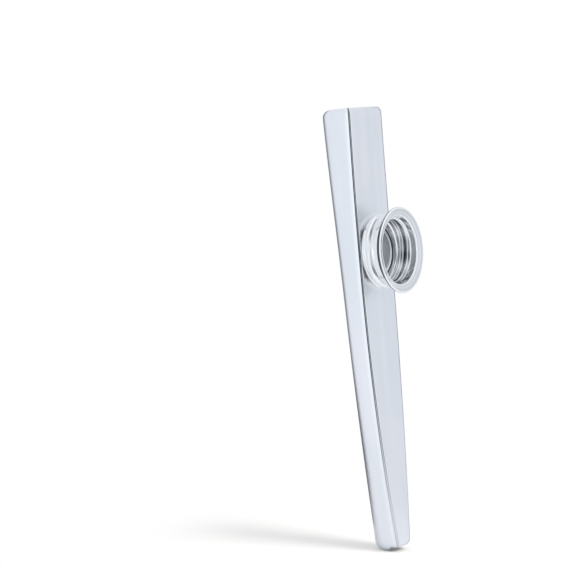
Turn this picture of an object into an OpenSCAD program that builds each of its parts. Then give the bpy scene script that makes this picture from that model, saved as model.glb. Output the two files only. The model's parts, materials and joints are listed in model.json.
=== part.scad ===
// Metal kazoo: two pressed shells, a threaded collar, a screw-in crown and a clamped membrane.
// It lies on its belly: +X runs from the mouth end to the narrow end, +Z is up.
// The origin is at the middle of the body's length, on the surface that it lies on.

/* [Body] */
// Length of the top plate, from the mouth end to the narrow end
body_length = 120; // [100:1:150]
// Width across the mouth end
mouth_width = 17.6; // [16.6:0.1:22]
// Greatest width, ahead of the turret
widest_width = 17.8; // [17.4:0.1:22]
// Width across the narrow end
tail_width = 7.2; // [6.8:0.1:12]
// Height at the mouth end
mouth_height = 10.9; // [9.5:0.1:14]
// Height at the narrow end
tail_height = 8.6; // [7.5:0.1:11]
// How far the top plate dips below a straight edge, mid-way along
plate_sag = 0.77; // [0:0.05:1.5]
// Thickness of the shells' sheet metal
sheet = 0.5; // [0.3:0.05:0.6]
// Length over which both ends curl inward
curl_length = 2; // [1.5:0.1:3]

/* [Seam] */
// Gap between the cover's skirt and the trough's wall
seam_gap = 0.05; // [0.03:0.01:0.1]
// Depth of the cover's skirt inside the trough
skirt_depth = 2.4; // [2:0.1:3.5]
// Radius of the cover's long edges
cover_edge_r = 0.7; // [0.65:0.05:1]

/* [Turret] */
// Distance from the mouth end to the turret's axis
turret_from_mouth = 39.2; // [34:0.5:48]
// Height of the crown's rim above the top plate
crown_height = 8.15; // [7.9:0.05:9.5]
// How far the crown's flange reaches past the collar's wall
flange_overhang = 1.56; // [1.4:0.01:2.5]
// Thickness of the crown's sheet metal
crown_sheet = 0.42; // [0.35:0.01:0.5]
// Outside radius of the collar's plain wall
collar_r = 10.1; // [9.9:0.05:10.3]
// Thickness of the collar's sheet metal
collar_sheet = 0.45; // [0.35:0.01:0.5]

/* [Rolled thread] */
// Rise of the thread in one turn
thread_lead = 2.4; // [2:0.1:3]
// Half of the thread's depth
thread_wave = 0.38; // [0.2:0.01:0.42]
// Gap between the crown's thread and the collar's
thread_gap = 0.12; // [0.1:0.01:0.2]

/* [Membrane] */
// Thickness of the vibrating film
film_thickness = 0.12; // [0.08:0.01:0.2]
// Thickness of the ring that carries the film
ring_thickness = 0.34; // [0.2:0.02:0.4]
// Width of the ring
ring_width = 1.75; // [1.4:0.05:2.2]
// How far the crown's foot reaches in over the ring
ring_cover = 1.05; // [0.7:0.05:1.2]
// Gap between stacked pieces that aren't fastened together
seat_gap = 0.03; // [0.02:0.01:0.06]

/* [Hidden] */

aluminium = [0.85, 0.87, 0.90];
bright_metal = [0.78, 0.80, 0.83];
ring_tint = [0.88, 0.88, 0.88];
film_tint = [0.60, 0.64, 0.68];

// Smoothness of the lofts and the turret
body_steps = 22;
curl_steps = 4;
corner_steps = 7;
lip_steps = 2;
turret_sides = 40;
rows_in_a_lead = 10;

// Plan of the body: it is widest at this share of its length, and tapers by this power
widest_share = 0.2;
taper_power = 2.5;
// Section of the trough: share of the height that is straight wall, and of the width that is flat belly
mouth_wall_share = 0.5;
mouth_flat_share = 0.34;
waist_wall_share = 0.38;
waist_flat_share = 0.12;
// The section grows rounder from the mouth until this share of the length
rounding_end_share = 0.45;

// How far each end curls inward, at the sides, the belly and the top plate
mouth_side_curl = 1.2;
mouth_belly_curl = 2.2;
mouth_top_curl = 0.8;
tail_side_curl = 1;
tail_belly_curl = 1.5;
tail_top_curl = 1;

// How far the trough's narrow end bulges past the top plate's
tail_bow = 0.6;

// The trough's lip stops a little below the plate, with its outer edge rounded
lip_drop = 0.15;
lip_r = 0.4;

// Collar: a drawn cup whose neck passes through the plate and is swaged out under it
seat_from_wall = 2.1;
neck_from_seat = 1.1;
neck_gap = 0.04;
swage_width = 0.5;
bulge_inner_r = 0.05;
bulge_rise = 0.65;
bulge_turn = 57;
flare = 0.3;
flare_height = 1.2;
rim_round = 0.1;
neck_round = 0.2;

// The membrane lies loosely on the collar's floor
seat_play = 0.35;

// Crown: foot, skirt and dished flange, which rises from its root to a rim rolled into a bead
foot_corner_r = 0.45;
flange_thickness = 0.45;
flange_dish = 0.55;
flange_turn = 20;
rim_bead_r = 0.35;
rim_gap = 0.25;
throat_round = 0.5;

// Turn round the axis at which the thread would start on the plate
thread_start = 280;
// Lengths over which the threads run in and out
run_in = 0.6;
run_out = 0.6;
// The crown's thread ends this much higher than the collar's
crown_run_out_lag = 0.4;
collar_run_out_drop = 1.4;

half_length = (body_length + tail_bow) / 2;
plate_end_x = half_length - tail_bow;
turret_x = turret_from_mouth - half_length;
cut_reach = 2 * sheet + seat_gap;

// Share of the body's length at x, from 0 at the mouth to 1 at the narrow end
function along(x) = (x + half_length) / body_length;

// Height of the top plate above the belly
function plate_z(x) =
    let (s = along(x))
    mouth_height + (tail_height - mouth_height) * s - 4 * plate_sag * s * (1 - s);

// Slope of the top plate, in degrees below level
function plate_fall(x) =
    let (s = along(x))
    atan((mouth_height - tail_height + 4 * plate_sag * (1 - 2 * s)) / body_length);

// Half of the body's width: nearly parallel ahead of the turret, then a convex taper
function half_width(x) =
    let (s = along(x))
    s < widest_share
        ? (widest_width - (widest_width - mouth_width) * pow(1 - s / widest_share, 2)) / 2
        : (widest_width - (widest_width - tail_width)
            * pow((s - widest_share) / (1 - widest_share), taper_power)) / 2;

// Eased rise from 0 to 1 between two values
function rise(v, low, high) =
    let (u = min(1, max(0, (v - low) / (high - low))))
    u * u * (3 - 2 * u);

// A share of the trough's section at x, between its values at the mouth and at the waist
function section_share(x, mouth_share, waist_share) =
    mouth_share + (waist_share - mouth_share) * rise(along(x), 0, rounding_end_share);

// Stations of the lofts: [-1, angle] in the mouth's curl, [0, share] between, [1, angle] in the tail's
stations = concat(
    [for (i = [0 : curl_steps - 1]) [-1, 90 * i / curl_steps]],
    [for (i = [0 : body_steps]) [0, i / body_steps]],
    [for (i = [curl_steps - 1 : -1 : 0]) [1, 90 * i / curl_steps]]
);

// X of a station on the surface that lies this deep below the body's outer skin
function station_x(st, deep) =
    st[0] == 0
        ? curl_length - half_length + (body_length - 2 * curl_length) * st[1]
        : (st[0] < 0 ? curl_length - half_length : plate_end_x - curl_length)
            + st[0] * (curl_length - deep) * cos(st[1]);

// How far the trough's narrow end bulges at this station, at a share of its height
function bow(st, height_share) =
    st[0] == 1 ? tail_bow * cos(st[1]) * sin(180 * height_share) : 0;

// How far inward that surface lies at a station, where the end curls in by mouth_r or tail_r
function inset(st, mouth_r, tail_r, deep) =
    let (r = st[0] < 0 ? mouth_r : tail_r)
    st[0] == 0 ? deep : r - (r - deep) * sin(st[1]);

function side_inset(st, deep) = inset(st, mouth_side_curl, tail_side_curl, deep);
function belly_inset(st, deep) = inset(st, mouth_belly_curl, tail_belly_curl, deep);
function top_inset(st, deep) = inset(st, mouth_top_curl, tail_top_curl, deep);

// A half section and its mirror image, as one chain from the +Y edge to the -Y edge
function both_sides(half) =
    let (n = len(half))
    concat(half, [for (i = [n - 2 : -1 : 0]) [half[i][0], -half[i][1], half[i][2]]]);

// Half section of the trough, from its lip down the wall and round to the belly's middle
function trough_half(st, deep) =
    let (
        x = station_x(st, deep),
        w = half_width(x),
        wall_y = w - side_inset(st, deep),
        lip_z = plate_z(x) - top_inset(st, 0) - lip_drop,
        r = deep == 0 ? lip_r : 0,
        bend_z = (1 - section_share(x, mouth_wall_share, waist_wall_share)) * plate_z(x),
        flat_y = section_share(x, mouth_flat_share, waist_flat_share) * w,
        belly_z = belly_inset(st, deep)
    )
    concat(
        [for (i = [0 : lip_steps])
            let (a = 90 * i / lip_steps)
            [x, wall_y - r * (1 - sin(a)), lip_z - lip_r * (1 - cos(a))]],
        [for (i = [0 : corner_steps])
            let (
                a = 90 * i / corner_steps,
                z = bend_z - (bend_z - belly_z) * sin(a)
            )
            [x + bow(st, z / lip_z), flat_y + (wall_y - flat_y) * cos(a), z]],
        [[x + bow(st, belly_z / lip_z), 0, belly_z]]
    );

// Half section of the cover, from the foot of its skirt up and across to the plate's middle
function cover_half(st, deep) =
    let (
        skirt_deep = sheet + seam_gap + deep,
        skirt_x = station_x(st, skirt_deep),
        skirt_y = half_width(skirt_x) - side_inset(st, skirt_deep),
        x = station_x(st, deep),
        top_z = plate_z(x) - top_inset(st, deep),
        r = cover_edge_r - deep
    )
    concat(
        [[skirt_x, skirt_y, plate_z(x) - skirt_depth]],
        [for (i = [0 : lip_steps])
            let (a = 90 * i / lip_steps)
            [
                skirt_x + (x - skirt_x) * (1 - cos(a)),
                skirt_y - r * (1 - cos(a)),
                top_z - r * (1 - sin(a))
            ]],
        [[x, 0, top_z]]
    );

// Thin sheet between two matching grids of points: an outer skin, an inner skin and their four edges
module sheet_between(outer, inner) {
    rows = len(outer);
    cols = len(outer[0]);
    inner_at = rows * cols;
    points = concat([for (row = outer) each row], [for (row = inner) each row]);
    function at(i, j) = i * cols + j;
    function quad(a, b, c, d) = [[a, b, c], [a, c, d]];
    faces = concat(
        [for (i = [0 : rows - 2], j = [0 : cols - 2])
            each quad(at(i, j), at(i, j + 1), at(i + 1, j + 1), at(i + 1, j))],
        [for (i = [0 : rows - 2], j = [0 : cols - 2])
            each quad(inner_at + at(i, j), inner_at + at(i + 1, j),
                inner_at + at(i + 1, j + 1), inner_at + at(i, j + 1))],
        [for (j = [0 : cols - 2], i = [0, rows - 1])
            each i == 0
                ? quad(at(i, j), inner_at + at(i, j), inner_at + at(i, j + 1), at(i, j + 1))
                : quad(at(i, j), at(i, j + 1), inner_at + at(i, j + 1), inner_at + at(i, j))],
        [for (i = [0 : rows - 2], j = [0, cols - 1])
            each j == 0
                ? quad(at(i, j), at(i + 1, j), inner_at + at(i + 1, j), inner_at + at(i, j))
                : quad(at(i, j), inner_at + at(i, j), inner_at + at(i + 1, j), at(i + 1, j))]
    );
    polyhedron(points = points, faces = faces, convexity = 6);
}

// Closed profile of [radius, z, wave share] turned round Z, with the wave wound into a thread
module turned_sheet(profile) {
    rows = len(profile);
    n = turret_sides;
    points = [for (p = profile, k = [0 : n - 1])
        let (
            turn = 360 * k / n,
            r = p[0] + thread_wave * p[2] * cos(turn - thread_start - 360 * p[1] / thread_lead)
        )
        [r * cos(turn), r * sin(turn), p[1]]];
    faces = [for (i = [0 : rows - 1], k = [0 : n - 1])
        let (
            a = i * n + k,
            b = i * n + (k + 1) % n,
            c = ((i + 1) % rows) * n + (k + 1) % n,
            d = ((i + 1) % rows) * n + k
        )
        each [[a, c, b], [a, d, c]]];
    polyhedron(points = points, faces = faces, convexity = 8);
}

// Arc of profile points, from one angle to another
function arc(r, z, radius, from, to, steps) =
    [for (i = [0 : steps])
        let (a = from + (to - from) * i / steps)
        [r + radius * cos(a), z + radius * sin(a), 0]];

function reversed(list) = [for (i = [len(list) - 1 : -1 : 0]) list[i]];

// Heights of the rows of points between two ends of a thread
function thread_rows(low, high) =
    let (n = ceil((high - low) / thread_lead * rows_in_a_lead))
    [for (i = [0 : n]) low + (high - low) * i / n];

// Collar, in the turret's own frame: z is zero on the plate's upper face
bore_r = collar_r - collar_sheet;
seat_r = collar_r - seat_from_wall;
collar_hole_r = seat_r - neck_from_seat;
floor_z = seat_gap + collar_sheet;
film_z = floor_z + seat_gap;
ring_z = film_z + film_thickness;
foot_z = ring_z + ring_thickness + seat_gap;
bulge_r = collar_sheet + bulge_inner_r;
bulge_z = foot_z + bulge_rise;
flange_under = crown_height - flange_dish - flange_thickness;
collar_height = flange_under - rim_gap;
collar_thread_low = bulge_z;
collar_thread_high = collar_height - collar_run_out_drop;
function collar_wave(z) =
    rise(z, collar_thread_low, collar_thread_low + run_in)
    * (1 - rise(z, collar_thread_high - run_out, collar_thread_high));
function collar_wall(surface_r) =
    [for (z = thread_rows(collar_thread_low, collar_thread_high))
        [surface_r - thread_wave * collar_wave(z), z, collar_wave(z)]];
neck_r = collar_hole_r - neck_gap;
neck_bore_r = neck_r - collar_sheet;
swage_r = neck_r + swage_width;
swage_top = -sheet - seat_gap;
swage_bottom = swage_top - collar_sheet;
collar_rim_r = collar_r + flare;
collar_profile = concat(
    [
        [swage_r - rim_round, swage_bottom, 0],
        [swage_r, swage_bottom + rim_round, 0],
        [swage_r, swage_top, 0],
        [neck_r, swage_top, 0],
        [neck_r, seat_gap, 0],
        [seat_r, seat_gap, 0]
    ],
    arc(collar_r - bulge_r, bulge_z, bulge_r, -bulge_turn, -bulge_turn / 4, 3),
    collar_wall(collar_r),
    [
        [collar_r + flare / 4, collar_height - flare_height / 2, 0],
        [collar_rim_r, collar_height - 2 * rim_round, 0],
        [collar_rim_r - rim_round, collar_height, 0],
        [collar_rim_r - collar_sheet, collar_height - rim_round, 0],
        [bore_r + flare / 4, collar_height - flare_height / 2 - rim_round, 0]
    ],
    reversed(collar_wall(bore_r)),
    [
        [collar_r - bulge_r + bulge_inner_r * cos(bulge_turn),
            bulge_z - bulge_inner_r * sin(bulge_turn), 0],
        [seat_r - collar_sheet / 2, floor_z, 0],
        [neck_bore_r + neck_round, floor_z, 0],
        [neck_bore_r, floor_z - neck_round, 0],
        [neck_bore_r, swage_bottom + neck_round, 0],
        [neck_bore_r + neck_round, swage_bottom, 0]
    ]
);

// Membrane on the collar's floor, and the crown screwed down onto its ring
membrane_r = seat_r - seat_play;
crown_hole_r = membrane_r - ring_cover;
crown_mean_r = bore_r - thread_wave - thread_gap;
crown_root_r = crown_mean_r - thread_wave;
crown_crest_r = crown_mean_r + thread_wave;
crown_thread_low = foot_z + foot_corner_r;
crown_thread_high = collar_thread_high + crown_run_out_lag;
function crown_run_in(z) = rise(z, crown_thread_low, crown_thread_low + run_in);
function crown_run_out(z) = rise(z, crown_thread_high - run_out, crown_thread_high);
function crown_wall(inward) =
    [for (z = thread_rows(crown_thread_low, crown_thread_high))
        [
            crown_mean_r - inward + thread_wave * (crown_run_in(z) - 1 + crown_run_out(z)),
            z,
            crown_run_in(z) * (1 - crown_run_out(z))
        ]];
throat_r = crown_crest_r - crown_sheet;
flange_r = collar_r + flange_overhang;
crown_profile = concat(
    [
        [crown_hole_r, foot_z + crown_sheet / 2, 0],
        [crown_hole_r + crown_sheet / 4, foot_z, 0]
    ],
    arc(crown_root_r - foot_corner_r, foot_z + foot_corner_r, foot_corner_r, -90, -22.5, 3),
    crown_wall(0),
    arc(crown_crest_r + throat_round, flange_under - throat_round, throat_round,
        180, 90 + flange_turn, 3),
    arc(flange_r - rim_bead_r, crown_height - rim_bead_r, rim_bead_r,
        flange_turn - 150, 90 + flange_turn, 7),
    arc(throat_r + throat_round, crown_height - flange_dish - throat_round, throat_round,
        90 - flange_turn, 180, 4),
    reversed(crown_wall(crown_sheet)),
    [
        [crown_root_r - crown_sheet - foot_corner_r / 2, foot_z + crown_sheet, 0],
        [crown_hole_r + crown_sheet / 4, foot_z + crown_sheet, 0]
    ]
);

// Places a piece of the turret on the plate, square to it
module on_turret() {
    translate([turret_x, 0, plate_z(turret_x)])
        rotate([0, plate_fall(turret_x), 0])
            children();
}

// U-shaped lower shell, open along its top and at both ends
module lower_shell() {
    color(aluminium)
        sheet_between(
            [for (st = stations) both_sides(trough_half(st, 0))],
            [for (st = stations) both_sides(trough_half(st, sheet))]
        );
}

// Top plate with its skirts inside the trough, and the hole for the collar's neck
module upper_shell() {
    color(aluminium)
        difference() {
            sheet_between(
                [for (st = stations) reversed(both_sides(cover_half(st, 0)))],
                [for (st = stations) reversed(both_sides(cover_half(st, sheet)))]
            );
            on_turret()
                cylinder(r = collar_hole_r, h = 2 * cut_reach, center = true, $fn = turret_sides);
        }
}

// Fixed socket of the turret, with a rolled internal thread
module collar() {
    color(bright_metal)
        on_turret()
            turned_sheet(collar_profile);
}

// Screw-in cup with a wide flange, which clamps the membrane
module crown() {
    color(bright_metal)
        on_turret()
            turned_sheet(crown_profile);
}

// Stiff ring that carries the film
module membrane_ring() {
    color(ring_tint)
        on_turret()
            translate([0, 0, ring_z])
                difference() {
                    cylinder(r = membrane_r, h = ring_thickness, $fn = turret_sides);
                    translate([0, 0, -ring_thickness])
                        cylinder(r = membrane_r - ring_width, h = 3 * ring_thickness,
                            $fn = turret_sides);
                }
}

// Vibrating film
module membrane_film() {
    color(film_tint)
        on_turret()
            translate([0, 0, film_z])
                cylinder(r = membrane_r, h = film_thickness, $fn = turret_sides);
}

lower_shell();
upper_shell();
collar();
crown();
membrane_ring();
membrane_film();
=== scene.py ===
"""Looks of the kazoo: smooth shells, rolled turret, membrane, metal finishes, studio and camera."""

import json
import math

import bpy
from mathutils import Matrix, Vector


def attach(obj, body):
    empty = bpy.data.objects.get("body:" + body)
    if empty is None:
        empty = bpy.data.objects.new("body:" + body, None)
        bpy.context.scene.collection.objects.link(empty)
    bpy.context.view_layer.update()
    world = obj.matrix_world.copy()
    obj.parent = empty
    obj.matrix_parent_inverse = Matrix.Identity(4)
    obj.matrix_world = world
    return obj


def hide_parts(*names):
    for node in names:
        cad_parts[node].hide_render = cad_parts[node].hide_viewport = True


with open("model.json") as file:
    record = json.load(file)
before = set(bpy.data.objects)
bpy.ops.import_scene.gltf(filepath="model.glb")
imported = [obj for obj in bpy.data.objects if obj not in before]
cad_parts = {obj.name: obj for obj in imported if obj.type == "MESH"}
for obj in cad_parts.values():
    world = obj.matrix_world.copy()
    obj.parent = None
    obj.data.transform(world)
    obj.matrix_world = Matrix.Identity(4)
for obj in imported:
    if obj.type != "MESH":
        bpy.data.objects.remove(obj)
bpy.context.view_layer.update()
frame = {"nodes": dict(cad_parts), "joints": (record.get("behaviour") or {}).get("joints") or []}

# Sizes below are in millimetres, and meshes and places are turned into metres by this factor
MM = 0.001

# Body
BODY_LENGTH = 120
MOUTH_WIDTH = 17.6
WIDEST_WIDTH = 17.8
TAIL_WIDTH = 7.2
MOUTH_HEIGHT = 10.9
TAIL_HEIGHT = 8.6
PLATE_SAG = 0.77
SHEET = 0.5
CURL_LENGTH = 2
WIDEST_SHARE = 0.2
TAPER_POWER = 2.5
MOUTH_WALL_SHARE = 0.5
MOUTH_FLAT_SHARE = 0.34
WAIST_WALL_SHARE = 0.38
WAIST_FLAT_SHARE = 0.12
ROUNDING_END_SHARE = 0.45
MOUTH_SIDE_CURL = 1.2
MOUTH_BELLY_CURL = 2.2
MOUTH_TOP_CURL = 0.8
TAIL_SIDE_CURL = 1
TAIL_BELLY_CURL = 1.5
TAIL_TOP_CURL = 1
TAIL_BOW = 0.6

# Seam
SEAM_GAP = 0.05
SKIRT_DEPTH = 2.4
COVER_EDGE_R = 0.7
LIP_DROP = 0.15
LIP_R = 0.4
# Close under its lip the trough's wall leans in a little, which catches the light, and a painted highlight
# fades down it from the lip
LEAN_HEIGHT = 1.5
LEAN = 0.1
LEAN_STEPS = 5

# Painted light of the metal at a mesh's points: painted shade in a depth, the plain metal, or a painted
# highlight
DARK = 0
PLAIN = 1
HIGHLIT = 2

# Painted light at angles of a rounding, as (angle, light): painted shade in the seam's depth and painted
# highlights at its edges. Towards the tail the seam closes, and its painted line is wider and paler
LIP_LIGHTS = ((0, 0.9), (14, 0.9), (24, 0), (58, 0), (70, 1), (78, 1.8), (90, 1.8))
EDGE_LIGHTS = ((30, 1), (37, 0), (52, 0), (57, 1), (60, 2), (66, 2), (71, 1))
LEAN_HIGHLIGHT = 0.8
SEAM_FADE_START = 0
SEAM_FADE_END = 58
SEAM_FADE_LIGHT = 0.66
SEAM_SPREAD = 0.2

# Painted light at angles of the turret's roundings: the collar's bulge, the crown's bead and its throat
PLAIN_LIGHTS = ((0, PLAIN),)
BULGE_LIGHTS = ((-34, 2), (-24, 0.15), (0, 0.15))
BEAD_LIGHTS = ((-85, 1), (-75, 0), (9, 0), (27, 1), (38, 1.8), (105, 1.8))
THROAT_LIGHTS = ((82, 0.84), (100, 1), (150, 1), (180, 2))
# Painted light on the flange's face, as (share of the way in from the rim, light)
FACE_LIGHTS = ((0.05, 0.8), (0.5, 0.8), (0.62, 0.92), (0.74, 0.92), (0.88, 0.8))
# Under the collar the plate is painted bright, a painted highlight that lifts the shade there, out to this
# radius and down to this depth
BRIGHTEN_R = 9.8
BRIGHTEN_FADE = 0.9
BRIGHTEN_DEPTH = 0.3

# Painted light round one turn of the thread, as (angle, light): painted highlight and shade lines on the
# collar seen from outside, and on the crown from inside. The angles waver and the painted lights swell
# round the turret. Each ripple is (waves in a turn of the turret, shift, share)
WAVER = 13
WAVER_RIPPLES = ((3, 40, 1), (7, 0, 0.6))
COLLAR_SWELL = 0.75
CROWN_SWELL = 0.35
SWELL_RIPPLES = ((5, 30, 1), (11, 0, 0.6))
COLLAR_LIGHTS = ((0, 1.7), (20, 1), (50, 0.86), (90, 0.84), (115, 1.1), (125, 1.7), (145, 0.88), (165, 0.6),
                 (200, 0.6), (222, 0.9), (240, 2), (262, 2), (285, 0.9), (335, 0.92), (360, 1.7))
CROWN_LIGHTS = ((0, 0.2), (10, 0.25), (30, 0.7), (48, 0.75), (66, 0.45), (84, 0.3), (102, 0.32),
                (124, 0.8), (146, 0.8), (165, 0.5), (200, 0.4), (330, 0.3), (360, 0.2))

# Turret
CROWN_HEIGHT = 8.15
FLANGE_OVERHANG = 1.56
CROWN_SHEET = 0.42
COLLAR_R = 10.1
COLLAR_SHEET = 0.45
SEAT_FROM_WALL = 2.1
NECK_FROM_SEAT = 1.1
NECK_GAP = 0.04
SWAGE_WIDTH = 0.5
BULGE_INNER_R = 0.05
BULGE_RISE = 0.65
BULGE_TURN = 57
FLARE = 0.3
FLARE_HEIGHT = 1.2
RIM_ROUND = 0.1
NECK_ROUND = 0.2
SEAT_GAP = 0.03
SEAT_PLAY = 0.35
FOOT_CORNER_R = 0.45
FOOT_CORNER_END = -10
FLANGE_THICKNESS = 0.45
FLANGE_DISH = 0.55
FLANGE_TURN = 20
RIM_BEAD_R = 0.35
RIM_BEAD_TURN = 240
RIM_GAP = 0.25
THROAT_ROUND = 0.5
THREAD_LEAD = 2.4
THREAD_WAVE = 0.38
THREAD_GAP = 0.12
THREAD_START = 280
RUN_IN = 0.6
RUN_OUT = 0.6
CROWN_RUN_OUT_LAG = 0.4
COLLAR_RUN_OUT_DROP = 1.4

# Membrane
FILM_THICKNESS = 0.12
RING_THICKNESS = 0.34
RING_COVER = 1.05

# Fineness of the meshes
BODY_STEPS = 90
CURL_STEPS = 10
CORNER_STEPS = 20
LIP_STEPS = 15
TURRET_SIDES = 192
ROWS_IN_A_LEAD = 26
ARC_STEPS = 16

# Above this angle between faces, an edge is drawn sharp
SHARP_ANGLE = math.radians(38)

# Frame of the photograph, in millimetres and square pixels: the camera was fitted to the seam,
# the silhouettes and the crown's rim, in the frame of the top plate's end-to-end chord
PHOTO_SIDE = 569
PHOTO_FOCAL = 2300
SENSOR = 36
CAMERA_PLACE = Vector((-45.36, -534.32, 320.73))
CAMERA_RIGHT = Vector((0.092, 0.544, 0.834))
CAMERA_UP = Vector((-0.995, 0.092, 0.049))
STANDING_UP = Vector((-0.994, -0.003, 0.111))
# In metres
CLIP_NEAR = 0.01
CLIP_FAR = 10

# Finishes: colours are (red, green, blue), a noise's scale is in waves to the metre, a roughness is
# between two values, and a bump is (strength, distance in millimetres)
TINT_RANGE = (0.3, 0.7)

SATIN_COOL = (0.783, 0.82, 0.85)
SATIN_LILAC = (0.884, 0.878, 0.915)
# Painted shade and painted highlight colours, which the mesh's light attribute mixes into the satin metal
SATIN_DARK = (0.07, 0.075, 0.09)
SATIN_HIGHLIGHT = (0.98, 0.985, 0.99)
SATIN_ROUGHNESS = (0.27, 0.37)
GRAIN_SCALE = (900, 9000, 9000)
GRAIN_BUMP = (0.06, 0.02)
CLOUD_SCALE = 60
WAVE_SCALE = (18, 260, 260)
WAVE_SHARE = 0.6
WAVE_BUMP = (0.5, 0.06)

POLISHED_METALLIC = 0.93
POLISHED_LOW = (0.84, 0.85, 0.87)
POLISHED_HIGH = (0.88, 0.89, 0.905)
# Painted shade and painted highlight colours, which the mesh's light attribute mixes into the bright metal
POLISHED_DARK = (0.05, 0.055, 0.065)
POLISHED_HIGHLIGHT = (0.97, 0.97, 0.97)
POLISHED_ROUGHNESS = (0.07, 0.15)
WEAR_SCALE = 350
DENT_SCALE = 260
DENT_BUMP = (0.6, 0.12)
MARK_SCALE = 2300
MARK_BUMP = (0.4, 0.02)
RING_SCALE = 7000
RING_BUMP = (0.05, 0.02)

CARD_LOW = (0.53, 0.54, 0.55)
CARD_HIGH = (0.61, 0.62, 0.63)
CARD_ROUGHNESS = 0.6
FLECK_SCALE = 2500
FLECK_BUMP = (0.25, 0.03)

FILM_LOW = (0.17, 0.186, 0.204)
FILM_HIGH = (0.22, 0.237, 0.256)
FILM_ROUGHNESS = (0.3, 0.42)
CRINKLE_SCALE = 420
CRINKLE_BUMP = (0.35, 0.2)

# Floor, whose shadow fades to white between two shares of its radius
FLOOR_R = 80
FLOOR_SIDES = 96
FLOOR_GLOW = 0.14
FLOOR_SHADE = (0.76, 0.73, 0.695)
FLOOR_IN_REFLECTIONS = (0.74, 0.74, 0.74)
SHADOW_FADE_START = 0.5
SHADOW_FADE_END = 0.92
STAGE_ROUGHNESS = 0.9

# Dark board in reflections, which fades out over the outer share of the way to its edges
BOARD_MIDDLE = (34, 16, -18)
BOARD_SIZE = (80, 56, 1)
BOARD_COLOUR = (0.08, 0.08, 0.08)
BOARD_SOFT_SHARE = 0.5

# Key light, in metres and watts
KEY_RIGHT = 0.4
KEY_UP = 0.35
KEY_BACK = 0.25
KEY_SIZE = 0.25
KEY_POWER = 2.2

# World away from the camera's own rays: its level and tint, and its soft light or dark cards, as (angle
# round X, half angle of the full card, half angle where it ends, level). The camera's card is behind the
# camera and needs no angle round X
WORLD_LEVEL = 0.92
WORLD_TINT = (0.96, 1, 1.055)
CARDS = (
    (-130, 15, 40, 0.15),
    (155, 20, 60, 0.9),
    (188, 8, 22, 1.2),
    (2, 8, 27, 1.25),
    (20, 4, 9, 1.6),
)
CAMERA_CARD = (5, 14, 0.8)

HALF_LENGTH = (BODY_LENGTH + TAIL_BOW) / 2
PLATE_END_X = HALF_LENGTH - TAIL_BOW


def cosd(a):
    return math.cos(math.radians(a))


def sind(a):
    return math.sin(math.radians(a))


def along(x):
    """Share of the top plate's length at x."""
    return (x + HALF_LENGTH) / BODY_LENGTH


def plate_z(x):
    """Height of the top plate above the belly."""
    share = along(x)
    return MOUTH_HEIGHT + (TAIL_HEIGHT - MOUTH_HEIGHT) * share - 4 * PLATE_SAG * share * (1 - share)


def half_width(x):
    """Half of the body's width: nearly parallel ahead of the turret, then a convex taper."""
    share = along(x)
    if share < WIDEST_SHARE:
        return (WIDEST_WIDTH - (WIDEST_WIDTH - MOUTH_WIDTH) * (1 - share / WIDEST_SHARE) ** 2) / 2
    tapered = ((share - WIDEST_SHARE) / (1 - WIDEST_SHARE)) ** TAPER_POWER
    return (WIDEST_WIDTH - (WIDEST_WIDTH - TAIL_WIDTH) * tapered) / 2


def rise(v, low, high):
    """Eased rise from 0 to 1 between two values."""
    u = min(1, max(0, (v - low) / (high - low)))
    return u * u * (3 - 2 * u)


def section_share(x, mouth_share, waist_share):
    """A share of the section that changes from the mouth to the waist."""
    return mouth_share + (waist_share - mouth_share) * rise(along(x), 0, ROUNDING_END_SHARE)


def stations():
    """Places of the lofts' sections: (-1, angle) in the mouth's curl, (0, share), (1, angle)."""
    places = [(-1, 90 * i / CURL_STEPS) for i in range(CURL_STEPS)]
    places += [(0, i / BODY_STEPS) for i in range(BODY_STEPS + 1)]
    places += [(1, 90 * i / CURL_STEPS) for i in range(CURL_STEPS - 1, -1, -1)]
    return places


def station_x(station, deep):
    """Place along X of a surface this deep at a station."""
    end, place = station
    if end == 0:
        return CURL_LENGTH - HALF_LENGTH + (BODY_LENGTH - 2 * CURL_LENGTH) * place
    start = CURL_LENGTH - HALF_LENGTH if end < 0 else PLATE_END_X - CURL_LENGTH
    return start + end * (CURL_LENGTH - deep) * cosd(place)


def inset(station, mouth_r, tail_r, deep):
    """How far inward a surface this deep lies at a station, where the end curls in."""
    end, place = station
    if end == 0:
        return deep
    curl_r = mouth_r if end < 0 else tail_r
    return curl_r - (curl_r - deep) * sind(place)


def bow(station, height_share):
    """How far the trough's narrow end bulges at a share of its height."""
    end, place = station
    return TAIL_BOW * cosd(place) * sind(180 * height_share) if end == 1 else 0


def both_sides(half):
    """A half section and its mirror image. Each point is (x, y, z, light)."""
    return half + [(x, -y, z, light) for x, y, z, light in reversed(half[:-1])]


def light_at(angle, lights):
    """Light at an angle, between the values of a list of (angle, light), which ends at the last angle."""
    if angle <= lights[0][0]:
        return lights[0][1]
    for (a, low), (b, high) in zip(lights, lights[1:]):
        if angle <= b:
            return low + (high - low) * (angle - a) / (b - a)
    return lights[-1][1]


def seam_light(x, angle, lights):
    """Light at an angle of one of the seam's roundings, at this x."""
    closed = rise(x, SEAM_FADE_START, SEAM_FADE_END)
    least = closed * SEAM_FADE_LIGHT
    return least + (1 - least) * light_at(angle * (1 - SEAM_SPREAD * closed), lights)


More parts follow.
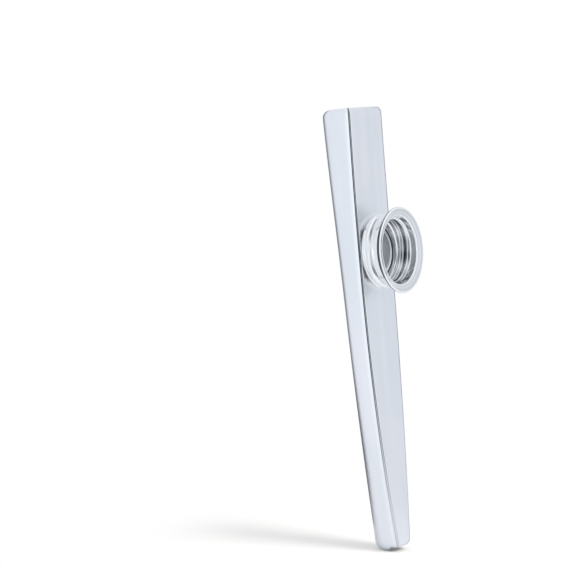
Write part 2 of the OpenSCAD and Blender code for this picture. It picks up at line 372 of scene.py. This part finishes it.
def trough_half(station, deep):
    """Half section of the trough, from its lip down the wall and round to the belly's middle."""
    x = station_x(station, deep)
    side_y = half_width(x)
    wall_y = side_y - inset(station, MOUTH_SIDE_CURL, TAIL_SIDE_CURL, deep)
    lip_z = plate_z(x) - inset(station, MOUTH_TOP_CURL, TAIL_TOP_CURL, 0) - LIP_DROP
    r = LIP_R if deep == 0 else 0
    bend_z = (1 - section_share(x, MOUTH_WALL_SHARE, WAIST_WALL_SHARE)) * plate_z(x)
    flat_y = section_share(x, MOUTH_FLAT_SHARE, WAIST_FLAT_SHARE) * side_y
    belly_z = inset(station, MOUTH_BELLY_CURL, TAIL_BELLY_CURL, deep)
    lean = 0 if deep else LEAN
    points = []
    for i in range(LIP_STEPS + 1):
        a = 90 * i / LIP_STEPS
        # The inside is painted bright; the outside takes the seam's painted shade and highlights
        light = HIGHLIT if deep else seam_light(x, a, LIP_LIGHTS)
        points.append((x, wall_y - lean - r * (1 - sind(a)), lip_z - LIP_R * (1 - cosd(a)), light))
    for i in range(1, LEAN_STEPS + 1):
        u = 1 - i / LEAN_STEPS
        # A painted highlight fades down the leaning wall below the lip
        light = PLAIN if deep else PLAIN + LEAN_HIGHLIGHT * u * u
        points.append((x, wall_y - lean * u * u, lip_z - LIP_R - LEAN_HEIGHT * (1 - u), light))
    for i in range(CORNER_STEPS + 1):
        a = 90 * i / CORNER_STEPS
        z = bend_z - (bend_z - belly_z) * sind(a)
        points.append((x + bow(station, z / lip_z), flat_y + (wall_y - flat_y) * cosd(a), z, PLAIN))
    points.append((x + bow(station, belly_z / lip_z), 0, belly_z, PLAIN))
    return points


def cover_half(station, deep):
    """Half section of the cover, from the foot of its skirt up and across to the plate's middle."""
    skirt_deep = SHEET + SEAM_GAP + deep
    skirt_x = station_x(station, skirt_deep)
    skirt_y = half_width(skirt_x) - inset(station, MOUTH_SIDE_CURL, TAIL_SIDE_CURL, skirt_deep)
    x = station_x(station, deep)
    top_z = plate_z(x) - inset(station, MOUTH_TOP_CURL, TAIL_TOP_CURL, deep)
    r = COVER_EDGE_R - deep
    points = [(skirt_x, skirt_y, plate_z(x) - SKIRT_DEPTH, PLAIN)]
    # The cover's edge rounding takes the seam's painted shade and highlights
    for i in range(LIP_STEPS + 1):
        a = 90 * i / LIP_STEPS
        points.append((
            skirt_x + (x - skirt_x) * (1 - cosd(a)),
            skirt_y - r * (1 - cosd(a)),
            top_z - r * (1 - sind(a)),
            PLAIN if deep else seam_light(x, a, EDGE_LIGHTS),
        ))
    points.append((x, 0, top_z, PLAIN))
    return points


def new_piece(name, points, faces, body, node, material):
    """A smooth mesh piece that stands for a CAD node and rides on its body. Points are in millimetres."""
    mesh = bpy.data.meshes.new(name)
    mesh.from_pydata([[v * MM for v in p[:3]] for p in points], [], faces)
    lights = mesh.attributes.new("light", "FLOAT", "POINT")
    lights.data.foreach_set("value", [p[3] for p in points])
    mesh.validate()
    mesh.shade_smooth()
    mesh.set_sharp_from_angle(angle=SHARP_ANGLE)
    mesh.materials.append(material)
    piece = bpy.data.objects.new(name, mesh)
    bpy.context.scene.collection.objects.link(piece)
    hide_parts(node)
    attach(piece, body)
    return piece


def sheet_between(outer, inner):
    """Points and faces of a thin sheet between two matching grids, with its four edges."""
    rows = len(outer)
    cols = len(outer[0])
    back = rows * cols
    points = [p for row in outer for p in row] + [p for row in inner for p in row]

    def at(i, j):
        return i * cols + j

    faces = []
    for i in range(rows - 1):
        for j in range(cols - 1):
            quad = (at(i, j), at(i + 1, j), at(i + 1, j + 1), at(i, j + 1))
            faces.append(quad)
            faces.append(tuple(back + v for v in reversed(quad)))
    for j in range(cols - 1):
        faces.append((at(0, j), at(0, j + 1), back + at(0, j + 1), back + at(0, j)))
        last = rows - 1
        faces.append((at(last, j + 1), at(last, j), back + at(last, j), back + at(last, j + 1)))
    for i in range(rows - 1):
        faces.append((at(i + 1, 0), at(i, 0), back + at(i, 0), back + at(i + 1, 0)))
        last = cols - 1
        faces.append((at(i, last), at(i + 1, last), back + at(i + 1, last), back + at(i, last)))
    return points, faces


def turret_matrix():
    """From the turret's own frame to the row frame, both in millimetres."""
    hinge = next(j for j in frame["joints"] if j["type"] == "hinge")
    axis = Vector(hinge["axis"]).normalized()
    place = Vector(hinge["pos_m"]) / MM
    return Matrix.Translation(place) @ Vector((0, 0, 1)).rotation_difference(axis).to_matrix().to_4x4()


def ripple(turn, ripples):
    """Sum of a few waves at an angle round the turret."""
    return sum(share * sind(waves * turn + shift) for waves, shift, share in ripples)


def turned_sheet(profile, thread_lights, thread_swell):
    """Points and faces of a closed profile of (radius, z, wave share, light) turned round the turret.

    The wave is wound into a thread, painted as light or dark as a list of (angle, light) says round each
    turn, and more or less so round the turret by the swell.
    """
    place = turret_matrix()
    rows = len(profile)
    points = []
    for radius, z, wave, light in profile:
        for k in range(TURRET_SIDES):
            turn = 360 * k / TURRET_SIDES
            phase = (turn - THREAD_START - 360 * z / THREAD_LEAD) % 360
            r = radius + THREAD_WAVE * wave * cosd(phase)
            marked_phase = (phase + WAVER * ripple(turn, WAVER_RIPPLES)) % 360
            swell = 1 + thread_swell * ripple(turn, SWELL_RIPPLES)
            mark = (light_at(marked_phase, thread_lights) - PLAIN) * swell
            shaded = light * (1 + wave * mark)
            points.append((*(place @ Vector((r * cosd(turn), r * sind(turn), z))), shaded))
    faces = []
    for i in range(rows):
        for k in range(TURRET_SIDES):
            here = i * TURRET_SIDES
            there = ((i + 1) % rows) * TURRET_SIDES
            after = (k + 1) % TURRET_SIDES
            faces.append((here + k, here + after, there + after, there + k))
    return points, faces


def arc(r, z, radius, start, end, lights=PLAIN_LIGHTS):
    """Arc of profile points between two angles, as light as a list of (angle, light) says."""
    points = []
    for i in range(ARC_STEPS + 1):
        a = start + (end - start) * i / ARC_STEPS
        points.append((r + radius * cosd(a), z + radius * sind(a), 0, light_at(a, lights)))
    return points


def lit(points, light=PLAIN):
    """Plain profile points with a thread share of 0 and one light."""
    return [(r, z, 0, light) for r, z in points]


def thread_rows(low, high):
    """Levels between two heights, close enough together for the thread."""
    n = math.ceil((high - low) / THREAD_LEAD * ROWS_IN_A_LEAD)
    return [low + (high - low) * i / n for i in range(n + 1)]


# Levels and radii of the turret, as in the CAD model
BORE_R = COLLAR_R - COLLAR_SHEET
SEAT_R = COLLAR_R - SEAT_FROM_WALL
COLLAR_HOLE_R = SEAT_R - NECK_FROM_SEAT
FLOOR_Z = SEAT_GAP + COLLAR_SHEET
FILM_Z = FLOOR_Z + SEAT_GAP
RING_Z = FILM_Z + FILM_THICKNESS
FOOT_Z = RING_Z + RING_THICKNESS + SEAT_GAP
BULGE_R = COLLAR_SHEET + BULGE_INNER_R
BULGE_Z = FOOT_Z + BULGE_RISE
FLANGE_UNDER = CROWN_HEIGHT - FLANGE_DISH - FLANGE_THICKNESS
COLLAR_HEIGHT = FLANGE_UNDER - RIM_GAP
MEMBRANE_R = SEAT_R - SEAT_PLAY
COLLAR_THREAD_LOW = BULGE_Z
COLLAR_THREAD_HIGH = COLLAR_HEIGHT - COLLAR_RUN_OUT_DROP


def collar_profile():
    """The collar, from its swaged foot up the outside, over the rim and down the inside."""
    def wave(z):
        run_out = 1 - rise(z, COLLAR_THREAD_HIGH - RUN_OUT, COLLAR_THREAD_HIGH)
        return rise(z, COLLAR_THREAD_LOW, COLLAR_THREAD_LOW + RUN_IN) * run_out

    def wall(surface_r):
        rows = thread_rows(COLLAR_THREAD_LOW, COLLAR_THREAD_HIGH)
        return [(surface_r - THREAD_WAVE * wave(z), z, wave(z), PLAIN) for z in rows]

    neck_r = COLLAR_HOLE_R - NECK_GAP
    neck_bore_r = neck_r - COLLAR_SHEET
    swage_r = neck_r + SWAGE_WIDTH
    swage_top = -SHEET - SEAT_GAP
    swage_bottom = swage_top - COLLAR_SHEET
    rim_r = COLLAR_R + FLARE
    bulge_mid_r = COLLAR_R - BULGE_R
    # The seat's outer point is painted bright, a painted highlight against the shade under the bulge
    outside = lit([
        (swage_r - RIM_ROUND, swage_bottom),
        (swage_r, swage_bottom + RIM_ROUND),
        (swage_r, swage_top),
        (neck_r, swage_top),
        (neck_r, SEAT_GAP),
    ]) + lit([(SEAT_R, SEAT_GAP)], HIGHLIT)
    # The collar's rim is painted dark: painted shade under the crown's flange
    rim = lit([(COLLAR_R, COLLAR_HEIGHT - FLARE_HEIGHT / 2)]) + lit([
        (COLLAR_R + FLARE / 4, COLLAR_HEIGHT - FLARE_HEIGHT / 2),
        (rim_r, COLLAR_HEIGHT - 2 * RIM_ROUND),
        (rim_r - RIM_ROUND, COLLAR_HEIGHT),
        (rim_r - COLLAR_SHEET, COLLAR_HEIGHT - RIM_ROUND),
        (BORE_R + FLARE / 4, COLLAR_HEIGHT - FLARE_HEIGHT / 2 - RIM_ROUND),
    ], DARK)
    inside = lit([
        (bulge_mid_r + BULGE_INNER_R * cosd(BULGE_TURN), BULGE_Z - BULGE_INNER_R * sind(BULGE_TURN)),
        (SEAT_R - COLLAR_SHEET / 2, FLOOR_Z),
        (neck_bore_r + NECK_ROUND, FLOOR_Z),
        (neck_bore_r, FLOOR_Z - NECK_ROUND),
        (neck_bore_r, swage_bottom + NECK_ROUND),
        (neck_bore_r + NECK_ROUND, swage_bottom),
    ])
    bulge = arc(bulge_mid_r, BULGE_Z, BULGE_R, -BULGE_TURN, -BULGE_TURN / ARC_STEPS, BULGE_LIGHTS)
    return outside + bulge + wall(COLLAR_R) + rim + wall(BORE_R)[::-1] + inside


def crown_profile():
    """The crown, from its foot's hole up the outside, round the flange and down the inside."""
    mean_r = BORE_R - THREAD_WAVE - THREAD_GAP
    root_r = mean_r - THREAD_WAVE
    crest_r = mean_r + THREAD_WAVE
    thread_low = FOOT_Z + FOOT_CORNER_R
    thread_high = COLLAR_THREAD_HIGH + CROWN_RUN_OUT_LAG

    def run_in(z):
        return rise(z, thread_low, thread_low + RUN_IN)

    def run_out(z):
        return rise(z, thread_high - RUN_OUT, thread_high)

    def wall(inward):
        """The wall, painted with a highlight where it is smooth, and plain under the thread's painted
        lights.
        """
        points = []
        for z in thread_rows(thread_low, thread_high):
            r = mean_r - inward + THREAD_WAVE * (run_in(z) - 1 + run_out(z))
            wave = run_in(z) * (1 - run_out(z))
            points.append((r, z, wave, HIGHLIT - wave * (HIGHLIT - PLAIN)))
        return points

    throat_r = crest_r - CROWN_SHEET
    flange_r = COLLAR_R + FLANGE_OVERHANG
    hole_r = MEMBRANE_R - RING_COVER
    bead = arc(
        flange_r - RIM_BEAD_R, CROWN_HEIGHT - RIM_BEAD_R, RIM_BEAD_R,
        90 + FLANGE_TURN - RIM_BEAD_TURN, 90 + FLANGE_TURN, BEAD_LIGHTS)
    throat_z = CROWN_HEIGHT - FLANGE_DISH - THROAT_ROUND
    # The foot's hole edge is painted dark: painted shade in the gap above the membrane's ring
    foot_edge = lit([
        (hole_r + CROWN_SHEET / 4, FOOT_Z + CROWN_SHEET),
        (hole_r, FOOT_Z + CROWN_SHEET * 3 / 4),
        (hole_r, FOOT_Z + CROWN_SHEET / 4),
        (hole_r + CROWN_SHEET / 4, FOOT_Z),
    ], DARK)
    outer_r = flange_r - RIM_BEAD_R * (1 + sind(FLANGE_TURN))
    outer_z = CROWN_HEIGHT - RIM_BEAD_R * (1 - cosd(FLANGE_TURN))
    inner_r = throat_r + THROAT_ROUND * (1 + sind(FLANGE_TURN))
    inner_z = throat_z + THROAT_ROUND * cosd(FLANGE_TURN)
    face = [
        (outer_r + (inner_r - outer_r) * share, outer_z + (inner_z - outer_z) * share, 0, light)
        for share, light in FACE_LIGHTS
    ]
    foot_inside = lit([
        (root_r - CROWN_SHEET - FOOT_CORNER_R / 2, FOOT_Z + CROWN_SHEET),
        (hole_r + CROWN_SHEET / 2, FOOT_Z + CROWN_SHEET),
    ])
    return (
        foot_edge
        + arc(root_r - FOOT_CORNER_R, FOOT_Z + FOOT_CORNER_R, FOOT_CORNER_R, -90, FOOT_CORNER_END)
        + wall(0)
        + arc(crest_r + THROAT_ROUND, FLANGE_UNDER - THROAT_ROUND, THROAT_ROUND, 180, 90 + FLANGE_TURN)
        + bead
        + face
        + arc(throat_r + THROAT_ROUND, throat_z, THROAT_ROUND, 90 - FLANGE_TURN, 180, THROAT_LIGHTS)
        + wall(CROWN_SHEET)[::-1]
        + foot_inside
    )


def fill(tree, socket, value):
    """Joins an output to an input socket, or sets the socket to a plain value."""
    if isinstance(value, bpy.types.NodeSocket):
        tree.links.new(value, socket)
    else:
        socket.default_value = value


def add_node(tree, kind, settings=(), values=(), **named):
    """A new node with its settings, and with inputs filled in their order or by name."""
    made = tree.nodes.new(kind)
    for key, value in dict(settings).items():
        setattr(made, key, value)
    for socket, value in zip(made.inputs, values):
        fill(tree, socket, value)
    for name, value in named.items():
        fill(tree, made.inputs[name.replace("_", " ")], value)
    return made


class Shader:
    """A material's node tree, with its Principled shader and short ways to add and join nodes."""

    def __init__(self, name):
        self.material = bpy.data.materials.new(name)
        self.material.use_nodes = True
        self.tree = self.material.node_tree
        self.surface = self.tree.nodes["Principled BSDF"]

    def node(self, kind, settings=(), values=(), **named):
        return add_node(self.tree, kind, settings, values, **named)

    def put(self, name, value):
        """Joins an output to a socket of the Principled shader, or sets the socket to a plain value."""
        fill(self.tree, self.surface.inputs[name], value)

    def place(self):
        """A place in the object's own frame, in metres."""
        return self.node("ShaderNodeTexCoord").outputs["Object"]

    def stretched(self, place, scale):
        return self.node("ShaderNodeMapping", Vector=place, Scale=scale).outputs["Vector"]

    def noise(self, place, scale, detail):
        return self.node("ShaderNodeTexNoise", Vector=place, Scale=scale, Detail=detail).outputs["Fac"]

    def mapped(self, value, start, end, low=0, high=1):
        """The value, moved from between a start and an end to between two levels, and kept there."""
        made = self.node(
            "ShaderNodeMapRange", Value=value, From_Min=start, From_Max=end, To_Min=low, To_Max=high)
        return made.outputs["Result"]

    def mixed(self, share, first, second):
        """A colour between two."""
        return self.node("ShaderNodeMixRGB", Fac=share, Color1=first, Color2=second).outputs["Color"]

    def blended(self, share, first, second):
        """A shader between two."""
        return self.node("ShaderNodeMixShader", values=(share, first.outputs[0], second.outputs[0]))

    def from_middle(self, scale):
        """Falls from 1 at the object's origin to 0 where the scaled distance is 1."""
        made = self.node(
            "ShaderNodeTexGradient", {"gradient_type": "SPHERICAL"},
            Vector=self.stretched(self.place(), scale))
        return made.outputs["Fac"]

    def bumps(self, rows):
        """Bumps on top of each other, as rows of (height, (strength, distance in millimetres))."""
        below = {}
        for height, (strength, distance) in rows:
            made = self.node(
                "ShaderNodeBump", Height=height, Strength=strength, Distance=distance * MM, **below)
            below = {"Normal": made.outputs["Normal"]}
        self.put("Normal", below["Normal"])

    def tint(self, value, low, high):
        """A colour between two, by a value round a half."""
        ramp = self.node("ShaderNodeValToRGB", Fac=value)
        for element, position, colour in zip(ramp.color_ramp.elements, TINT_RANGE, (low, high)):
            element.position = position
            element.color = (*colour, 1)
        return ramp.outputs["Color"]

    def with_painted_light(self, metal, dark, highlight):
        """The metal's colour with painted shade or painted highlights, as the mesh's light attribute says.
        """
        light = self.node("ShaderNodeAttribute", {"attribute_name": "light"}).outputs["Fac"]
        shaded = self.mixed(self.mapped(light, DARK, PLAIN), (*dark, 1), metal)
        return self.mixed(self.mapped(light, PLAIN, HIGHLIT), shaded, (*highlight, 1))

    def in_turret(self, place):
        """A place's distance from the turret's axis and its height, in the turret's own frame."""
        inverse = turret_matrix().inverted()
        own = self.node(
            "ShaderNodeMapping", Vector=place, Location=inverse.translation * MM,
            Rotation=tuple(inverse.to_euler()))
        flat = self.node(
            "ShaderNodeVectorMath", {"operation": "MULTIPLY"}, (own.outputs["Vector"], (1, 1, 0)))
        radius = self.node("ShaderNodeVectorMath", {"operation": "LENGTH"}, (flat.outputs["Vector"],))
        parts = self.node("ShaderNodeSeparateXYZ", Vector=own.outputs["Vector"])
        return radius.outputs["Value"], parts.outputs["Z"]

    def brightened_under_collar(self, place, metal, bright):
        """The metal's colour, with a painted highlight on the plate under the collar that lifts the shade
        there.
        """
        radius, height = self.in_turret(place)
        near = self.mapped(radius, BRIGHTEN_R * MM, (BRIGHTEN_R + BRIGHTEN_FADE) * MM, 1, 0)
        top = self.mapped(height, -BRIGHTEN_DEPTH * MM, 0, 0, near)
        return self.mixed(top, metal, (*bright, 1))


def satin_metal():
    """Anodised sheet: a very fine grain drawn out along the body, and faint clouds, cool to lilac."""
    shader = Shader("satin_body")
    shader.put("Metallic", 1)
    place = shader.place()
    grain = shader.noise(shader.stretched(place, GRAIN_SCALE), 1, 3)
    clouds = shader.noise(place, CLOUD_SCALE, 2)
    waves = shader.noise(shader.stretched(place, WAVE_SCALE), 1, 1)
    mottle = shader.node("ShaderNodeMix", Factor=WAVE_SHARE, A=clouds, B=waves).outputs["Result"]
    # Painted light: a painted highlight on the plate under the collar, and painted shade and highlights as
    # the mesh's light attribute says
    metal = shader.brightened_under_collar(place, shader.tint(mottle, SATIN_COOL, SATIN_LILAC), SATIN_HIGHLIGHT)
    shader.put("Base Color", shader.with_painted_light(metal, SATIN_DARK, SATIN_HIGHLIGHT))
    shader.put("Roughness", shader.mapped(grain, 0, 1, *SATIN_ROUGHNESS))
    shader.bumps([(waves, WAVE_BUMP), (grain, GRAIN_BUMP)])
    return shader.material


def polished_metal():
    """Bright spun metal: faint turned rings round the turret's axis, and a little wear."""
    shader = Shader("bright_turret")
    shader.put("Metallic", POLISHED_METALLIC)
    place = shader.place()
    radius, height = shader.in_turret(place)
    ring_place = shader.node("ShaderNodeCombineXYZ", X=radius, Y=height).outputs["Vector"]
    wear = shader.noise(place, WEAR_SCALE, 4)
    metal = shader.tint(wear, POLISHED_LOW, POLISHED_HIGH)
    # Painted shade and painted highlights, as the mesh's light attribute says
    shader.put("Base Color", shader.with_painted_light(metal, POLISHED_DARK, POLISHED_HIGHLIGHT))
    shader.put("Roughness", shader.mapped(wear, 0, 1, *POLISHED_ROUGHNESS))
    shader.bumps([
        (shader.noise(place, DENT_SCALE, 1), DENT_BUMP),
        (shader.noise(ring_place, MARK_SCALE, 1), MARK_BUMP),
        (shader.noise(ring_place, RING_SCALE, 2), RING_BUMP),
    ])
    return shader.material


def ring_finish():
    """Matt pressed fibre, with a fine fleck."""
    shader = Shader("ring_card")
    fleck = shader.noise(shader.place(), FLECK_SCALE, 4)
    shader.put("Base Color", shader.tint(fleck, CARD_LOW, CARD_HIGH))
    shader.put("Roughness", CARD_ROUGHNESS)
    shader.bumps([(fleck, FLECK_BUMP)])
    return shader.material


def film_finish():
    """Thin grey translucent film, slightly glossy and softly crinkled."""
    shader = Shader("film")
    crinkle = shader.noise(shader.place(), CRINKLE_SCALE, 3)
    shader.put("Base Color", shader.tint(crinkle, FILM_LOW, FILM_HIGH))
    shader.put("Roughness", shader.mapped(crinkle, 0, 1, *FILM_ROUGHNESS))
    shader.bumps([(crinkle, CRINKLE_BUMP)])
    return shader.material


def make_shell(name, section, order, node, material):
    """A half section lofted along the stations. The order of its points, 1 or -1, turns it face out."""
    outer = [both_sides(section(station, 0))[::order] for station in stations()]
    inner = [both_sides(section(station, SHEET))[::order] for station in stations()]
    points, faces = sheet_between(outer, inner)
    return new_piece(name, points, faces, "body", node, material)


def cut_turret_hole(cover):
    """Opens the cover where the collar's neck goes through it."""
    bpy.ops.mesh.primitive_cylinder_add(
        vertices=TURRET_SIDES, radius=COLLAR_HOLE_R * MM, depth=4 * SHEET * MM)
    cutter = bpy.context.object
    place = turret_matrix()
    place.translation *= MM
    cutter.matrix_world = place
    cut = cover.modifiers.new("turret_hole", "BOOLEAN")
    cut.object = cutter
    cut.solver = "EXACT"
    bpy.context.view_layer.update()
    graph = bpy.context.evaluated_depsgraph_get()
    opened = bpy.data.meshes.new_from_object(cover.evaluated_get(graph))
    cover.modifiers.remove(cut)
    cover.data = opened
    bpy.data.objects.remove(cutter)


def make_turret(material):
    points, faces = turned_sheet(collar_profile(), COLLAR_LIGHTS, COLLAR_SWELL)
    new_piece("collar_smooth", points, faces, "body", "collar", material)
    points, faces = turned_sheet(crown_profile(), CROWN_LIGHTS, CROWN_SWELL)
    new_piece("crown_smooth", points, faces, "crown", "crown", material)


def finish_node(name, material):
    """Gives a CAD solid that is shown as it is its own material."""
    for material_slot in frame["nodes"][name].material_slots:
        material_slot.material = material


def chord_to_row(v):
    """Turns a direction from the frame of the plate's end-to-end chord to the row frame."""
    tilt = math.atan((MOUTH_HEIGHT - TAIL_HEIGHT) / BODY_LENGTH)
    return Matrix.Rotation(tilt, 3, "Y") @ v


def make_camera():
    """The camera fitted to the photograph. Gives its directions right, up and back."""
    data = bpy.data.cameras.new("photo_camera")
    data.sensor_width = SENSOR
    data.lens = PHOTO_FOCAL / PHOTO_SIDE * SENSOR
    data.clip_start = CLIP_NEAR
    data.clip_end = CLIP_FAR
    camera = bpy.data.objects.new("photo_camera", data)
    right = chord_to_row(CAMERA_RIGHT).normalized()
    up = chord_to_row(CAMERA_UP)
    up = (up - up.dot(right) * right).normalized()
    back = right.cross(up)
    camera.matrix_world = Matrix((right, up, back)).transposed().to_4x4()
    chord_middle = Vector((-TAIL_BOW / 2, 0, (MOUTH_HEIGHT + TAIL_HEIGHT) / 2))
    camera.location = (chord_middle + chord_to_row(CAMERA_PLACE)) * MM
    bpy.context.scene.collection.objects.link(camera)
    bpy.context.scene.camera = camera
    return right, up, back


def make_floor():
    """The pale surface that the kazoo's narrow end stands on in the photograph, square to its upright.

    The camera sees a shadow on it that fades to white, and from below nothing. Reflections see it plain.
    """
    upright = chord_to_row(STANDING_UP).normalized()
    body = bpy.data.objects["lower_shell_smooth"].data
    foot = min((v.co.dot(upright), v.index) for v in body.vertices)[1]
    place = body.vertices[foot].co
    bpy.ops.mesh.primitive_circle_add(vertices=FLOOR_SIDES, radius=FLOOR_R * MM, fill_type="NGON")
    floor = bpy.context.object
    floor.name = "floor"
    turned = Vector((0, 0, 1)).rotation_difference(upright).to_matrix().to_4x4()
    floor.matrix_world = Matrix.Translation(place) @ turned
    shader = Shader("floor")
    shader.put("Base Color", (*FLOOR_IN_REFLECTIONS, 1))
    shader.put("Roughness", STAGE_ROUGHNESS)
    glow = shader.node("ShaderNodeEmission", Strength=FLOOR_GLOW)
    shade = shader.node("ShaderNodeBsdfDiffuse", Color=(*FLOOR_SHADE, 1))
    seen = shader.node("ShaderNodeAddShader", values=(glow.outputs[0], shade.outputs[0]))
    white = shader.node("ShaderNodeEmission", Strength=1)
    share = 1 / (FLOOR_R * MM)
    near = shader.node(
        "ShaderNodeMapRange", {"interpolation_type": "SMOOTHSTEP"},
        Value=shader.from_middle((share, share, share)),
        From_Min=1 - SHADOW_FADE_END, From_Max=1 - SHADOW_FADE_START)
    faded = shader.blended(near.outputs["Result"], white, seen)
    from_below = shader.node("ShaderNodeNewGeometry").outputs["Backfacing"]
    one_sided = shader.blended(from_below, faded, shader.node("ShaderNodeBsdfTransparent"))
    camera_ray = shader.node("ShaderNodeLightPath").outputs["Is Camera Ray"]
    by_ray = shader.blended(camera_ray, shader.surface, one_sided)
    shader.tree.links.new(by_ray.outputs[0], shader.tree.nodes["Material Output"].inputs["Surface"])
    floor.data.materials.append(shader.material)


def make_board():
    """A dark board beside the narrow end, soft at its edges, which only reflections see."""
    bpy.ops.mesh.primitive_plane_add(size=1, location=Vector(BOARD_MIDDLE) * MM)
    board = bpy.context.object
    board.name = "board"
    board.scale = Vector(BOARD_SIZE) * MM
    board.visible_camera = False
    board.visible_diffuse = False
    board.visible_shadow = False
    shader = Shader("board")
    shader.put("Base Color", (*BOARD_COLOUR, 1))
    shader.put("Roughness", STAGE_ROUGHNESS)
    shader.put("Alpha", shader.mapped(shader.from_middle((2, 2, 1)), 0, BOARD_SOFT_SHARE))
    board.data.materials.append(shader.material)


def make_key_light(right, up, back):
    """A soft light above the camera's right shoulder, which reflections don't see."""
    data = bpy.data.lights.new("key", "AREA")
    data.shape = "DISK"
    data.size = KEY_SIZE
    data.energy = KEY_POWER
    light = bpy.data.objects.new("key", data)
    light.location = up * KEY_UP + back * KEY_BACK + right * KEY_RIGHT
    light.rotation_mode = "QUATERNION"
    light.rotation_quaternion = (-light.location).to_track_quat("-Z", "Y")
    light.visible_glossy = False
    bpy.context.scene.collection.objects.link(light)


def round_x(angle):
    """Direction at an angle round X, from -Y (0) over the top plate's side (90) to +Y (180)."""
    return Vector((0, -cosd(angle), sind(angle)))


def make_world(toward_camera):
    """White surroundings for the camera, and otherwise a plain faintly cool level with soft cards."""
    world = bpy.data.worlds.new("studio")
    bpy.context.scene.world = world
    world.use_nodes = True
    tree = world.node_tree
    direction = add_node(tree, "ShaderNodeTexCoord").outputs["Generated"]
    cards = [(round_x(angle), *sizes) for angle, *sizes in CARDS] + [(toward_camera, *CAMERA_CARD)]
    level = WORLD_LEVEL
    for toward, inner, outer, card_level in cards:
        dot = add_node(tree, "ShaderNodeVectorMath", {"operation": "DOT_PRODUCT"}, (direction, toward))
        spread = add_node(
            tree, "ShaderNodeMapRange", {"interpolation_type": "SMOOTHSTEP"}, Value=dot.outputs["Value"],
            From_Min=cosd(outer), From_Max=cosd(inner), To_Min=1, To_Max=card_level)
        lit_by_card = add_node(
            tree, "ShaderNodeMath", {"operation": "MULTIPLY"}, (spread.outputs["Result"], level))
        level = lit_by_card.outputs["Value"]
    camera_ray = add_node(tree, "ShaderNodeLightPath").outputs["Is Camera Ray"]
    colour = add_node(
        tree, "ShaderNodeMixRGB", Fac=camera_ray, Color1=(*WORLD_TINT, 1), Color2=(1, 1, 1, 1))
    strength = add_node(tree, "ShaderNodeMix", Factor=camera_ray, A=level, B=1)
    background = tree.nodes["Background"]
    fill(tree, background.inputs["Color"], colour.outputs["Color"])
    fill(tree, background.inputs["Strength"], strength.outputs["Result"])


right, up, back = make_camera()
satin = satin_metal()
make_shell("lower_shell_smooth", trough_half, 1, "lower_shell", satin)
cut_turret_hole(make_shell("upper_shell_smooth", cover_half, -1, "upper_shell", satin))
make_turret(polished_metal())
finish_node("membrane_ring", ring_finish())
finish_node("membrane_film", film_finish())
make_floor()
make_board()
make_key_light(right, up, back)
make_world(back)
bpy.context.scene.view_settings.view_transform = "Standard"
